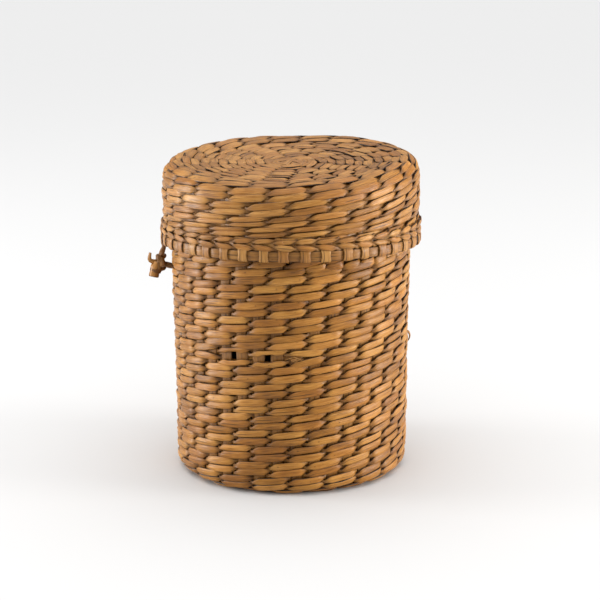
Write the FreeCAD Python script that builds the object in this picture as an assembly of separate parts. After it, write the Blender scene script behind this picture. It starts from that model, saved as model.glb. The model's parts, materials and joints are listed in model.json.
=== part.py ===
import FreeCAD, Part
import math
import os

# Lidded seagrass basket, twined over stakes, with its lid tied on at the left.
# Millimetres. +Z up, origin at the centre of the underside, -Y is the front, -X the hinge side.

Vector = FreeCAD.Vector
UP = Vector(0, 0, 1)
CENTRE = Vector(0, 0, 0)

# ---- body of the basket ----
STAKES = 41                      # upright stakes round the wall, and again round the lid
BODY_FIRST_STAKE = -95.9         # degrees about Z
STAKE_WIDTH = 4.8                # degrees of the wall that a stake takes
SPOKE_WIDTH = 6.6                # degrees of the base that a spoke takes
WALL = 4.6                       # wall and base thickness
STAKE_OUT, STAKE_IN = 1.5, 3.1   # a body stake lies between these depths in the wall
SLACK = 0.05                     # room between a stake and the weft on each side of it
BULGE = 0.45                     # how far each weft row swells out of the wall
CORNER = 6.5                     # radius of the rounded edge at the bottom
FLAT = 51.1                      # radius of the flat part of the base
BODY_PROFILE = ((6.5, 57.6), (60.0, 58.0), (100.0, 58.6), (111.0, 58.4),
                (120.0, 58.0), (130.0, 57.0), (138.0, 55.8), (146.0, 54.2))   # (height, radius)
BODY_TOP = 146.0
COURSE = 7.73                    # height of a course, which is a pair of rows
WALL_START = 9.915               # where the first wall course stands on the corner course
WALL_COURSES = 13
WORN_COURSE = 8                  # the course with broken weft at the front
TWIST_ROW = (108.0, 111.0)       # fine row just under the lid
NECK_COURSES = 4                 # courses hidden by the lid
RIM_START = 141.6
BASE_ROUNDS = (7.0, 18.0, 29.5, 41.0, FLAT)
BASE_SPOKES = 16
SPOKE_START, SPOKE_END = 3.2, 29.3
STAKE_START = 29.8

# ---- worn place ----
WORN_ANGLES = (-126.6, -89.5)    # degrees about Z, where the front weft is gone
WORN_HEIGHTS = (66.6, 71.4)
WORN_DEPTH = 1.42
HOLE_ANGLES = (-117.8, -100.4)   # the two square holes between stakes
HOLE_SIZE = (2.6, 4.6)           # width, height

# ---- lid ----
LID_TOP = 150.8
LID_UNDER = 146.3
LID_WALL = 3.8
LID_STAKE_OUT, LID_STAKE_IN = 1.2, 2.6
LID_FIRST_STAKE = 180.0
LID_FLAT = 45.0                  # radius of the level middle of the lid
LID_CROWN = 53.6                 # radius of the raised rim
LID_SHOULDER_Z = 144.4
LID_SHOULDER = 9.0
SKIRT_PROFILE = ((112.0, 63.7), (122.0, 63.7), (131.0, 62.5), (144.4, 62.6))
LID_ROUNDS = (7.0, 19.5, 32.0, LID_FLAT, LID_CROWN)
LID_COURSES = ((137.6, LID_SHOULDER_Z), (130.8, 137.6), (124.0, 130.8))
LOCK_ROWS = ((120.7, 124.0), (117.4, 120.7))
BORDER = (112.0, 117.4)
BORDER_SPLIT = 62.25             # the border's ring lies inside this radius, its straps outside
STRAP_WIDTH = 4.5                # degrees
LID_STAKE_START = 24.0
LID_STAKE_FOOT = 117.6

# ---- hinge tie ----
PIVOT = Vector(-62.0, 0, 113.6)  # the lid turns about the cord in its border, along Y
CORD = 0.9                       # radius of the tie's cord
CORD_ROOM = 1.2                  # radius of its way through the border
LEG_Y = 4.75                     # the cord leaves the border in the gaps beside a strap
LEG_ROOM = 3.1                   # the border is open this far round the pivot there
LEG_HALF_GAP = 1.35
KNOT = Vector(-65.3, 0, 101.3)
KNOT_RADIUS = 2.7
WALL_HOLE_Z = 98.7
STOPPER = Vector(-52.3, 0, 98.7)
TAIL_END = Vector(-67.2, -1.0, 93.4)
SHORT_TAIL_END = Vector(-69.2, -0.6, 106.2)

# ---- loose loop of weft at the right ----
LOOP_CENTRE = Vector(57.3, 0, 63.5)
LOOP_RADIUS = 2.6
LOOP_THICK = 0.55


def at(point):
    return Vector(point[0], 0, point[1])


def line(start, end):
    return Part.LineSegment(at(start), at(end)).toShape()


def arc(start, middle, end):
    return Part.Arc(at(start), at(middle), at(end)).toShape()


def on_circle(centre, radius, degrees):
    angle = math.radians(degrees)
    return (centre[0] + radius * math.cos(angle), centre[1] + radius * math.sin(angle))


def radius_at(profile, height):
    """Radius of a (height, radius) profile at a height, straight between its points."""
    if height <= profile[0][0]:
        return profile[0][1]
    for (low, low_radius), (high, high_radius) in zip(profile, profile[1:]):
        if height <= high:
            share = (height - low) / (high - low)
            return low_radius + share * (high_radius - low_radius)
    return profile[-1][1]


def face(edges):
    return Part.Face(Part.Wire(Part.__sortEdges__(edges)))


def spin(flat_face, first=0.0, turn=360.0):
    """Solid made by turning a face in the XZ plane about Z."""
    start = flat_face.copy()
    start.rotate(CENTRE, UP, first)
    return start.revolve(CENTRE, UP, turn)


def around(flat_face, count, first, width):
    """Equal wedges of a turned face, centred on equally spaced angles."""
    pitch = 360.0 / count
    return [spin(flat_face, first + pitch * n - width / 2, width) for n in range(count)]


def row_edges(start, end, rows, swell):
    """Side of a weft course: one arc per row between two points, swelling by a vector."""
    edges = []
    for n in range(rows):
        low = [start[i] + (end[i] - start[i]) * n / rows for i in (0, 1)]
        high = [start[i] + (end[i] - start[i]) * (n + 1) / rows for i in (0, 1)]
        middle = [(low[i] + high[i]) / 2 + swell[i] for i in (0, 1)]
        edges.append(arc(low, middle, high))
    return edges


def upright_ring(profile, low, high, depths, rows, swell):
    """Ring of weft standing in a wall between two depths; its rows swell out of one face."""
    near, far = depths
    swollen, plain = (near, far) if swell > 0 else (far, near)
    low_radius = radius_at(profile, low)
    high_radius = radius_at(profile, high)
    shift = swollen + BULGE if swell > 0 else swollen - BULGE
    rows_low, rows_high = (low_radius - shift, low), (high_radius - shift, high)
    plain_low, plain_high = (low_radius - plain, low), (high_radius - plain, high)
    edges = row_edges(rows_low, rows_high, rows, (swell, 0))
    edges += [line(plain_low, plain_high), line(rows_low, plain_low), line(rows_high, plain_high)]
    return spin(face(edges))


def upright_lining(profile, low, high, depths, rows):
    """Inner face of the weave over several courses, bent where its outline bends."""
    heights = [low] + [z for z, _ in profile if low < z < high] + [high]
    outer = [(radius_at(profile, z) - depths[0], z) for z in heights]
    inner = [(radius_at(profile, z) - depths[1] + BULGE, z) for z in heights]
    edges = [line(a, b) for a, b in zip(outer, outer[1:])]
    for start, end in zip(inner, inner[1:]):
        count = max(1, round(rows * (end[1] - start[1]) / (high - low)))
        edges += row_edges(start, end, count, (-BULGE, 0))
    edges += [line(outer[0], inner[0]), line(outer[-1], inner[-1])]
    return spin(face(edges))


def flat_round(inner, outer, plain, swollen, inner_plain=None, inner_swollen=None):
    """Ring of weft lying level: one plain face, and one whose rows swell away from it."""
    swell = BULGE if swollen > plain else -BULGE
    plain_start = plain if inner_plain is None else inner_plain
    swollen_start = (swollen if inner_swollen is None else inner_swollen) - swell
    rows = max(1, round((outer - inner) / (COURSE / 2)))
    edges = row_edges((inner, swollen_start), (outer, swollen - swell), rows, (0, swell))
    edges += [line((inner, plain_start), (outer, plain))]
    edges += [line((inner, plain_start), (inner, swollen_start))]
    edges += [line((outer, plain), (outer, swollen - swell))]
    return spin(face(edges))


def body_skin(depth, start, end):
    """Edges of the body's outline at a depth in its wall, from the base to a height."""
    centre = (FLAT, CORNER)
    bend = CORNER - depth
    foot = (radius_at(BODY_PROFILE, CORNER) - depth, CORNER)
    edges = [line((start, depth), (FLAT, depth))]
    edges.append(arc((FLAT, depth), on_circle(centre, bend, -45), foot))
    heights = [z for z, _ in BODY_PROFILE if CORNER < z < end] + [end]
    points = [foot] + [(radius_at(BODY_PROFILE, z) - depth, z) for z in heights]
    edges += [line(a, b) for a, b in zip(points, points[1:])]
    return edges, (start, depth), points[-1]


def lid_skin(depth, start, end):
    """Edges of the lid's outline at a depth in its weave, from the middle down its skirt."""
    centre = (LID_CROWN, LID_SHOULDER_Z)
    bend = LID_SHOULDER - depth
    crown = (LID_CROWN, LID_SHOULDER_Z + bend)
    level = (LID_FLAT, LID_TOP - depth)
    edge = (LID_CROWN + bend, LID_SHOULDER_Z)
    edges = [line((start, LID_TOP - depth), level), line(level, crown)]
    edges.append(arc(crown, on_circle(centre, bend, 45), edge))
    heights = [z for z, _ in reversed(SKIRT_PROFILE) if end < z < LID_SHOULDER_Z] + [end]
    points = [edge] + [(radius_at(SKIRT_PROFILE, z) - depth, z) for z in heights]
    edges += [line(a, b) for a, b in zip(points, points[1:])]
    return edges, (start, LID_TOP - depth), points[-1]


def stake_face(skin, outer_depth, inner_depth, start, end):
    """Flat side of a bent stake that lies between two depths."""
    outer, outer_start, outer_end = skin(outer_depth, start, end)
    inner, inner_start, inner_end = skin(inner_depth, start, end)
    return face(outer + inner + [line(outer_start, inner_start), line(outer_end, inner_end)])


def spoke_face(low, high, start, end):
    corners = [(start, low), (end, low), (end, high), (start, high), (start, low)]
    return face([line(a, b) for a, b in zip(corners, corners[1:])])


def cord(points, radius):
    """Cord through points: straight runs joined by arcs as large as the runs allow."""
    places = [Vector(*p) for p in points]
    edges = []
    here = places[0]
    for before, corner, after in zip(places, places[1:], places[2:]):
        back = (before - corner).normalize()
        ahead = (after - corner).normalize()
        reach = 0.45 * min((before - corner).Length, (after - corner).Length)
        turn = math.pi - back.getAngle(ahead)
        bend = reach / math.tan(turn / 2)
        to_centre = (back + ahead).normalize()
        centre = corner + to_centre * (bend / math.cos(turn / 2))
        start = corner + back * reach
        end = corner + ahead * reach
        edges.append(Part.LineSegment(here, start).toShape())
        edges.append(Part.Arc(start, centre - to_centre * bend, end).toShape())
        here = end
    edges.append(Part.LineSegment(here, places[-1]).toShape())
    path = Part.Wire(edges)
    section = Part.Wire(Part.makeCircle(radius, places[0], places[1] - places[0]))
    return path.makePipeShell([section], True, False)


def rod(start, end, radius, end_radius=None):
    """Round stem between two points, tapering if its end radius differs."""
    axis = end - start
    if end_radius is None or end_radius == radius:
        return Part.makeCylinder(radius, axis.Length, start, axis)
    return Part.makeCone(radius, end_radius, axis.Length, start, axis)


def channel(radius, low_y, high_y):
    """Cylinder about the hinge axis, used to clear the tie's way through the lid."""
    foot = Vector(PIVOT.x, low_y, PIVOT.z)
    return Part.makeCylinder(radius, high_y - low_y, foot, Vector(0, 1, 0))


def spoke_parts(name, low, high, end):
    """Spokes across the middle, and the start of the weave that is tied over them."""
    spoke = spoke_face(low, high, SPOKE_START, end)
    room = spoke_face(low - SLACK, high + SLACK, SPOKE_START - SLACK, end)
    spokes = around(spoke, BASE_SPOKES, 0.0, SPOKE_WIDTH)
    return {name: Part.Compound(spokes)}, around(room, BASE_SPOKES, 0.0, SPOKE_WIDTH + 0.6)


def base_parts():
    parts, rooms = spoke_parts("base_spokes", STAKE_OUT, STAKE_IN, SPOKE_END)
    start = Part.makeCylinder(BASE_ROUNDS[0], WALL - BULGE)
    parts["base_start"] = start.cut(rooms)
    outer_face = STAKE_OUT - SLACK
    for n, (inner, outer) in enumerate(zip(BASE_ROUNDS, BASE_ROUNDS[1:]), 1):
        parts["base_round_%d" % n] = flat_round(inner, outer, outer_face, 0.0)
    inner_face = STAKE_IN + SLACK
    parts["base_inner_weave"] = flat_round(BASE_ROUNDS[0], FLAT, inner_face, WALL)
    return parts


def corner_ring(near, far):
    """Part of the rounded bottom edge between two depths, up to the first wall course."""
    centre = (FLAT, CORNER)
    top_radius = radius_at(BODY_PROFILE, WALL_START)
    edges = []
    for depth in (near, far):
        bend = CORNER - depth
        edges.append(arc((FLAT, depth), on_circle(centre, bend, -45), (FLAT + bend, CORNER)))
        edges.append(line((FLAT + bend, CORNER), (top_radius - depth, WALL_START)))
    edges.append(line((FLAT, near), (FLAT, far)))
    edges.append(line((top_radius - near, WALL_START), (top_radius - far, WALL_START)))
    return spin(face(edges))


def worn_cutters():
    """What is missing where the weft has broken: a shallow patch and two square holes."""
    outer = radius_at(BODY_PROFILE, WORN_HEIGHTS[0]) + 1
    low, high = WORN_HEIGHTS
    patch = spoke_face(low, high, outer - 1 - WORN_DEPTH, outer)
    cutters = [spin(patch, WORN_ANGLES[0], WORN_ANGLES[1] - WORN_ANGLES[0])]
    width, height = HOLE_SIZE
    for angle in HOLE_ANGLES:
        hole = Part.makeBox(2 * WALL + 2, width, height)
        hole.translate(Vector(outer - 2 * WALL, -width / 2, (low + high - height) / 2))
        hole.rotate(CENTRE, UP, angle)
        cutters.append(hole)
    return cutters


def wall_parts():
    outer = (0.0, STAKE_OUT - SLACK)
    inner = (STAKE_IN + SLACK, WALL)
    parts = {"base_corner_course": corner_ring(*outer), "base_corner_lining": corner_ring(*inner)}
    wall_hole = rod(KNOT, STOPPER, CORD + SLACK)
    worn = worn_cutters()
    for n in range(1, WALL_COURSES + 1):
        low = WALL_START + COURSE * (n - 1)
        high = TWIST_ROW[0] if n == WALL_COURSES else low + COURSE
        course = upright_ring(BODY_PROFILE, low, high, outer, 2, BULGE)
        if n == WORN_COURSE:
            course = course.cut(worn)
        if low < WALL_HOLE_Z < high:
            course = course.cut(wall_hole)
        parts["wall_course_%02d" % n] = course
    low, high = TWIST_ROW
    parts["neck_twist_row"] = upright_ring(BODY_PROFILE, low, high, outer, 1, BULGE)
    step = (RIM_START - high) / NECK_COURSES
    for n in range(NECK_COURSES):
        low = TWIST_ROW[1] + step * n
        parts["neck_course_%d" % (n + 1)] = upright_ring(BODY_PROFILE, low, low + step, outer, 2, BULGE)
    lining = upright_lining(BODY_PROFILE, WALL_START, TWIST_ROW[1], inner, 2 * WALL_COURSES + 1)
    parts["wall_lining"] = lining.cut(worn[1:] + [wall_hole])
    parts["neck_lining"] = upright_lining(BODY_PROFILE, TWIST_ROW[1], RIM_START, inner, 2 * NECK_COURSES)
    rim_radius = radius_at(BODY_PROFILE, BODY_TOP)
    rim_foot = radius_at(BODY_PROFILE, RIM_START)
    corners = [(rim_foot, RIM_START), (rim_radius, BODY_TOP - 1), (rim_radius - 1, BODY_TOP),
               (rim_radius - WALL + 1, BODY_TOP), (rim_radius - WALL, BODY_TOP - 1),
               (rim_foot - WALL, RIM_START), (rim_foot, RIM_START)]
    parts["body_rim"] = spin(face([line(a, b) for a, b in zip(corners, corners[1:])]))
    stakes = stake_face(body_skin, STAKE_OUT, STAKE_IN, STAKE_START, RIM_START - SLACK)
    parts["body_stakes"] = Part.Compound(around(stakes, STAKES, BODY_FIRST_STAKE, STAKE_WIDTH))
    return parts


def lid_top_parts():
    top_face = LID_TOP - LID_STAKE_OUT + SLACK
    under_face = LID_TOP - LID_STAKE_IN - SLACK
    parts, rooms = spoke_parts("lid_spokes", LID_TOP - LID_STAKE_IN, LID_TOP - LID_STAKE_OUT,
                               LID_STAKE_START - 0.5)
    thick = LID_TOP - LID_UNDER
    start = Part.makeCylinder(LID_ROUNDS[0], thick - 2 * BULGE, Vector(0, 0, LID_UNDER + BULGE))
    parts["lid_start"] = start.cut(rooms)
    for n, (inner, outer) in enumerate(zip(LID_ROUNDS[:3], LID_ROUNDS[1:4]), 1):
        parts["lid_round_%d" % n] = flat_round(inner, outer, top_face, LID_TOP)
    parts["lid_inner_weave"] = flat_round(LID_ROUNDS[0], LID_FLAT, under_face, LID_UNDER)
    crown = LID_SHOULDER_Z + LID_SHOULDER
    crown_face = crown - LID_STAKE_OUT + SLACK
    parts["lid_crown_round"] = flat_round(LID_FLAT, LID_CROWN, crown_face, crown, top_face, LID_TOP)
    inner_face = crown - LID_STAKE_IN - SLACK
    parts["lid_crown_lining"] = flat_round(LID_FLAT, LID_CROWN, inner_face, crown - LID_WALL,
                                           under_face, LID_UNDER)
    return parts


def shoulder_ring(near, far):
    """Part of the course that turns from the lid's top into its skirt, between two depths."""
    centre = (LID_CROWN, LID_SHOULDER_Z)
    bends = (LID_SHOULDER - near, LID_SHOULDER - far)
    tops = [(LID_CROWN, LID_SHOULDER_Z + bend) for bend in bends]
    sides = [(LID_CROWN + bend, LID_SHOULDER_Z) for bend in bends]
    edges = [arc(top, on_circle(centre, bend, 45), side) for top, bend, side in zip(tops, bends, sides)]
    edges += [line(*tops), line(*sides)]
    return spin(face(edges))


def border_parts():
    """Border at the foot of the skirt: a ring, and a strap of each stake folded over it."""
    low, high = BORDER
    outer = SKIRT_PROFILE[0][1]
    tie_room = [channel(CORD_ROOM, -LEG_Y - LEG_HALF_GAP, LEG_Y + LEG_HALF_GAP)]
    for side in (-LEG_Y, LEG_Y):
        tie_room.append(channel(LEG_ROOM, side - LEG_HALF_GAP, side + LEG_HALF_GAP))
    ring = spin(spoke_face(low, high, outer - LID_WALL, BORDER_SPLIT)).cut(tie_room)
    strap = spoke_face(low, high, BORDER_SPLIT, outer)
    straps = [s.cut(tie_room) for s in around(strap, STAKES, LID_FIRST_STAKE, STRAP_WIDTH)]
    return {"lid_border_ring": ring, "lid_border_straps": Part.Compound(straps)}


def lid_side_parts():
    outer = (0.0, LID_STAKE_OUT - SLACK)
    inner = (LID_STAKE_IN + SLACK, LID_WALL)
    parts = {"lid_shoulder_course": shoulder_ring(*outer), "lid_shoulder_lining": shoulder_ring(*inner)}
    for n, (low, high) in enumerate(LID_COURSES, 1):
        parts["lid_course_%d" % n] = upright_ring(SKIRT_PROFILE, low, high, outer, 2, BULGE)
    for n, (low, high) in enumerate(LOCK_ROWS, 1):
        parts["lid_lock_row_%d" % n] = upright_ring(SKIRT_PROFILE, low, high, outer, 1, BULGE)
    parts["lid_lining"] = upright_lining(SKIRT_PROFILE, BORDER[1], LID_SHOULDER_Z, inner, 8)
    side = stake_face(lid_skin, LID_STAKE_OUT, LID_STAKE_IN, LID_STAKE_START, LID_STAKE_FOOT)
    parts["lid_stakes"] = Part.Compound(around(side, STAKES, LID_FIRST_STAKE, STAKE_WIDTH))
    return parts


def tie_parts():
    """Knotted cord that ties the lid to the wall and lets it swing."""
    knot = Part.makeSphere(KNOT_RADIUS, KNOT)
    stopper = Part.makeSphere(1.9, STOPPER)
    high, low = PIVOT.z, KNOT.z
    inside = PIVOT.x
    legs = [(inside - 2.2, -0.4, low + 1.0), (inside - 1.4, -2.6, low + 4.6),
            (inside - 0.1, -LEG_Y, low + 8.2), (inside, -LEG_Y, high),
            (inside, LEG_Y, high), (inside - 0.1, LEG_Y, low + 8.2),
            (inside - 1.4, 2.6, low + 4.6), (inside - 2.2, 0.4, low + 1.0)]
    strand = rod(KNOT, STOPPER, CORD)
    tail_start = KNOT + (TAIL_END - KNOT) * 0.2
    tail = rod(tail_start, TAIL_END, 1.9, 2.2).cut(knot)
    band_start = KNOT + (TAIL_END - KNOT) * 0.42
    band_end = KNOT + (TAIL_END - KNOT) * 0.62
    band = rod(band_start, band_end, 2.5).cut(tail)
    short_tail = rod(KNOT, SHORT_TAIL_END, 0.8).cut([knot, tail, band])
    loop = cord(legs, CORD).cut(knot)
    return {"tie_knot": knot, "tie_loop": loop, "tie_wall_strand": strand.cut([knot, stopper]),
            "tie_stopper": stopper, "tie_tail": tail, "tie_whipping": band,
            "tie_short_tail": short_tail}


def loose_loop(courses):
    """Slack weft that stands out of the wall, cut off where it goes in."""
    ring = Part.makeTorus(LOOP_RADIUS, LOOP_THICK, LOOP_CENTRE, Vector(0, 1, 0))
    box = Part.makeBox(8, 8, 16, LOOP_CENTRE + Vector(-8, -4, -8))
    return ring.cut([box] + courses)


def largest(shape):
    return max(shape.Solids, key=lambda solid: solid.Volume)


parts = {}
for group in (base_parts, wall_parts, lid_top_parts, lid_side_parts, border_parts, tie_parts):
    parts.update(group())
parts["loose_loop"] = largest(loose_loop([parts["wall_course_07"], parts["wall_course_08"]]))

os.makedirs("parts", exist_ok=True)
for name, shape in sorted(parts.items()):
    shape.exportStep("parts/%s.step" % name)
    print("%-22s solids %3d  volume %9.1f mm3  valid %s"
          % (name, len(shape.Solids), shape.Volume, shape.isValid()))
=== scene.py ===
import json
import math

import bpy
import numpy as np
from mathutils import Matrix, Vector


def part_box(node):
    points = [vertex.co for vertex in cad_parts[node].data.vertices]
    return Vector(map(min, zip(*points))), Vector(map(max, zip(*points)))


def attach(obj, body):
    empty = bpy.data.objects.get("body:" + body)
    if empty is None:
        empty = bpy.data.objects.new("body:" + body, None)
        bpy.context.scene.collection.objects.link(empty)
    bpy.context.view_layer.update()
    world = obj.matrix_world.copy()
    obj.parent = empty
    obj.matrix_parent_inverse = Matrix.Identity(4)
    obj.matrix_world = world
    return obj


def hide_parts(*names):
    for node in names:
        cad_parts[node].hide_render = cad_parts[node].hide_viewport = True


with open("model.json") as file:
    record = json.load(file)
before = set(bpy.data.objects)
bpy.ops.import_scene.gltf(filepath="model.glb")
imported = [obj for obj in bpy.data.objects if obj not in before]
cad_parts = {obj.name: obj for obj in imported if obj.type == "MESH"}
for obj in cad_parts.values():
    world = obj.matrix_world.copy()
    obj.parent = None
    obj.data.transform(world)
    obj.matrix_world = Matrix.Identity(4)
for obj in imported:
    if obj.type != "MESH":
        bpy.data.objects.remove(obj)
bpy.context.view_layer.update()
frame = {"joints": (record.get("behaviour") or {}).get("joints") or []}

# Lidded basket twined from flattened seagrass over stakes. Metres, in the frame of the model:
# +Z up, -Y the front, -X the side where the lid is tied on. Angles are in degrees from +X.

MM = 0.001

# ---------------------------------------------------------------- sizes read from the frame


def low(node):
    return Vector(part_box(node)[0])


def high(node):
    return Vector(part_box(node)[1])


def middle(node):
    return np.array((low(node) + high(node)) / 2)


def reach(node):
    """Outer radius of a node that runs all the way round."""
    return (high(node).y - low(node).y) / 2


WALL_NODES = ["wall_course_%02d" % n for n in range(1, 14)]
NECK_NODES = ["neck_course_%d" % n for n in range(1, 5)]
FRONT = -90.0
STAKES = 41
STITCH = 2 * 360.0 / STAKES            # a stitch passes over two stakes
STAKE_STEP = STITCH / 2
COURSE = high(WALL_NODES[0]).z - low(WALL_NODES[0]).z
FINE_STEP = high("neck_twist_row").z - low("neck_twist_row").z
WALL_FOOT = low(WALL_NODES[0]).z
RIM_FOOT = low("body_rim").z
BODY_TOP = high("body_rim").z
FLAT = reach("base_round_4")
CORNER_BEND = reach("base_corner_course") - FLAT
WALL_THICK = 4.6 * MM
LID_TOP = high("lid_round_3").z
LID_FLAT = reach("lid_round_3")
LID_CROWN = reach("lid_crown_round")
CROWN_TOP = high("lid_crown_round").z
SKIRT_R = reach("lid_course_1")
SHOULDER_Z = high("lid_course_1").z
BORDER_LOW = low("lid_border_straps").z
BORDER_HIGH = high("lid_border_straps").z
BORDER_R = reach("lid_border_straps")
LOCK_HIGH = high("lid_lock_row_1").z
LID_THICK = 3.8 * MM
PIVOT = Vector(frame["joints"][0]["pos_m"])

# ---------------------------------------------------------------- outlines the weave follows


def run_along(points):
    """Length run along a line, at each of its points."""
    return np.concatenate([[0], np.cumsum(np.linalg.norm(np.diff(points, axis=0), axis=1))])


class Outline:
    """Radius and height along a turned shape, by the length run from its middle.

    side is 1 where the outside lies to the right of the way along, and -1 where it lies to the left."""

    STEP = 0.5 * MM
    SOFTEN = 9                         # a corner is rounded over this many steps

    def __init__(self, points, side):
        self.side = side
        points = np.array(points)
        run = run_along(points)
        self.s = np.arange(0, run[-1], self.STEP)
        fine = np.stack([np.interp(self.s, run, points[:, i]) for i in (0, 1)], axis=1)
        kernel = np.ones(self.SOFTEN) / self.SOFTEN
        half = self.SOFTEN // 2
        padded = np.concatenate([np.repeat(fine[:1], half, 0), fine, np.repeat(fine[-1:], half, 0)])
        self.rz = np.stack([np.convolve(padded[:, i], kernel, "valid") for i in (0, 1)], axis=1)
        slope = np.gradient(self.rz, axis=0)
        self.along = slope / np.linalg.norm(slope, axis=1)[:, None]

    def place(self, degrees, s, out):
        """Points at an angle, a length along the outline and a distance outside it,
        with the directions out of the outline and along it."""
        angle = np.radians(degrees)
        r, z = (np.interp(s, self.s, self.rz[:, i]) for i in (0, 1))
        ar, az = (np.interp(s, self.s, self.along[:, i]) for i in (0, 1))
        nr, nz = self.side * az, -self.side * ar
        cos, sin = np.cos(angle), np.sin(angle)
        point = np.stack([(r + out * nr) * cos, (r + out * nr) * sin, z + out * nz], axis=-1)
        outward = np.stack([nr * cos, nr * sin, nz], axis=-1)
        along = np.stack([ar * cos, ar * sin, az], axis=-1)
        return point, outward, along

    def s_at_z(self, z, beyond):
        """Length along the outline where it passes a height, past a given length."""
        later = self.s > beyond
        order = np.argsort(self.rz[later, 1])
        return float(np.interp(z, self.rz[later, 1][order], self.s[later][order]))

    def s_at_r(self, r):
        return float(np.interp(r, self.rz[:, 0], self.s))


def bend(centre, radius, start, end, count=16):
    angles = np.radians(np.linspace(start, end, count))
    return [(centre[0] + radius * math.cos(a), centre[1] + radius * math.sin(a)) for a in angles]


def body_outline():
    points = [(0, 0)] + bend((FLAT, CORNER_BEND), CORNER_BEND, -90, 0)
    for node in WALL_NODES + ["neck_twist_row"] + NECK_NODES:
        points.append((reach(node), (low(node).z + high(node).z) / 2))
    points.append((reach("body_rim") - 0.4 * MM, BODY_TOP))
    return Outline(points, 1)


def lid_outline(foot_r):
    """The lid from the middle of its top down to its border, which may stand proud."""
    bend_r = SKIRT_R - LID_CROWN
    points = [(0, LID_TOP), (LID_FLAT, LID_TOP)]
    points += bend((LID_CROWN, CROWN_TOP - bend_r), bend_r, 90, 0)
    points += [(SKIRT_R, LOCK_HIGH + 7 * MM), (foot_r, LOCK_HIGH), (foot_r, BORDER_LOW - 3 * MM)]
    return Outline(points, -1)


BODY = body_outline()
LID = lid_outline(SKIRT_R - 0.2 * MM)
LID_FOOT = lid_outline(BORDER_R)

# ---------------------------------------------------------------- mesh making

SIDES = 14                             # points round a strand
UV_LENGTH = 100 * MM                   # length of strand for one unit of u


def unit(v):
    return v / np.maximum(np.linalg.norm(v, axis=-1), 1e-12)[..., None]


def power(v, exponent):
    return np.sign(v) * np.abs(v) ** exponent


def smooth(x):
    x = np.clip(x, 0, 1)
    return x * x * (3 - 2 * x)


def bump_at(x, centre, plateau, soft):
    """1 within plateau of the centre, and down to 0 over the distance soft."""
    return 1 - smooth((np.abs(x - centre) - plateau) / soft)


def wander(rng, position, size, spacing=1.0, columns=None):
    """Smooth random values along a line: one draw every spacing, blended between."""
    x = position / spacing
    base = math.floor(float(x.min())) - 1
    count = int(math.ceil(float(x.max())) - base) + 3
    draws = rng.normal(0, size, (count, columns) if columns else count)
    cell = np.floor(x).astype(int)
    share = smooth(x - cell)
    a, b = draws[cell - base], draws[cell - base + 1]
    if columns:
        share = share[:, None]
    return a + (b - a) * share


def tints(tone, shade_and_darkness, cast):
    """The three values that a strand's material reads: its tone, how much it is darkened (painted shade where
    it dives between stakes or lies in a recess, and a darker tone for some pieces), and its cast.
    """
    return np.stack(np.broadcast_arrays(tone, shade_and_darkness, cast), -1)


class Piece:
    """Collects closed strands, and turns them into one object."""

    def __init__(self):
        self.verts, self.faces, self.uvs, self.tints = [], [], [], []
        self.count = 0

    def strip(self, centre, outward, width, thick, tint, sides=SIDES, square=0.72, grooves=None,
              run0=0.0, shape=None):
        """A strand along a line. Its section is between an oval (square 1) and a box (square 0).

        outward, width, thick and tint are given for the whole line, or for each of its points."""
        n = len(centre)
        outward = np.broadcast_to(outward, (n, 3))
        width, thick = (np.broadcast_to(size, n)[:, None] for size in (width, thick))
        ahead = unit(np.gradient(centre, axis=0))
        normal = unit(outward - (outward * ahead).sum(1)[:, None] * ahead)
        across = np.cross(normal, ahead)
        angle = np.arange(sides) * 2 * math.pi / sides
        sideways = power(np.cos(angle), square)[None, :] * width / 2
        upward = power(np.sin(angle), 0.9)[None, :] * thick / 2
        if grooves is not None:
            upward = upward - grooves * np.clip(np.sin(angle), 0, 1)[None, :]
        if shape is not None:
            sideways, upward = sideways * shape, upward * shape
        points = centre[:, None] + sideways[..., None] * across[:, None]
        points = points + upward[..., None] * normal[:, None]
        self.verts.append(points.reshape(-1, 3))
        i, k = np.meshgrid(np.arange(n - 1), np.arange(sides), indexing="ij")
        after = (k + 1) % sides
        quads = np.stack([i * sides + k, i * sides + after, (i + 1) * sides + after,
                          (i + 1) * sides + k], -1).reshape(-1, 4) + self.count
        self.faces += quads.tolist()
        last = self.count + (n - 1) * sides
        self.faces.append(list(range(self.count + sides - 1, self.count - 1, -1)))
        self.faces.append(list(range(last, last + sides)))
        run = run0 + run_along(centre)
        u = np.stack([run[i], run[i], run[i + 1], run[i + 1]], -1)
        v = np.stack([k, k + 1, k + 1, k], -1) / sides
        self.uvs.append(np.stack([u / UV_LENGTH, v], -1).reshape(-1, 2))
        for end in (0, n - 1):
            self.uvs.append(np.full((sides, 2), run[end] / UV_LENGTH))
        self.tints.append(np.repeat(np.broadcast_to(tint, (n, 3)), sides, axis=0))
        self.count += n * sides

    def make(self, name, body, nodes, material, slot, warp=None):
        verts = np.concatenate(self.verts)
        if warp is not None:
            verts = warp(verts)
        mesh = bpy.data.meshes.new(name)
        mesh.from_pydata(verts.tolist(), [], self.faces)
        layer = mesh.uv_layers.new(name="Strand")
        layer.data.foreach_set("uv", np.concatenate(self.uvs).astype(np.float32).ravel())
        values = np.concatenate(self.tints)
        colours = np.concatenate([values, np.ones((len(values), 1))], axis=1)
        attribute = mesh.attributes.new("strand", "FLOAT_COLOR", "POINT")
        attribute.data.foreach_set("color", colours.astype(np.float32).ravel())
        mesh.polygons.foreach_set("use_smooth", np.ones(len(mesh.polygons), dtype=bool))
        mesh.materials.append(material)
        mesh.update()
        piece = bpy.data.objects.new(name, mesh)
        bpy.context.scene.collection.objects.link(piece)
        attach(piece, body)
        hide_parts(*nodes)


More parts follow.
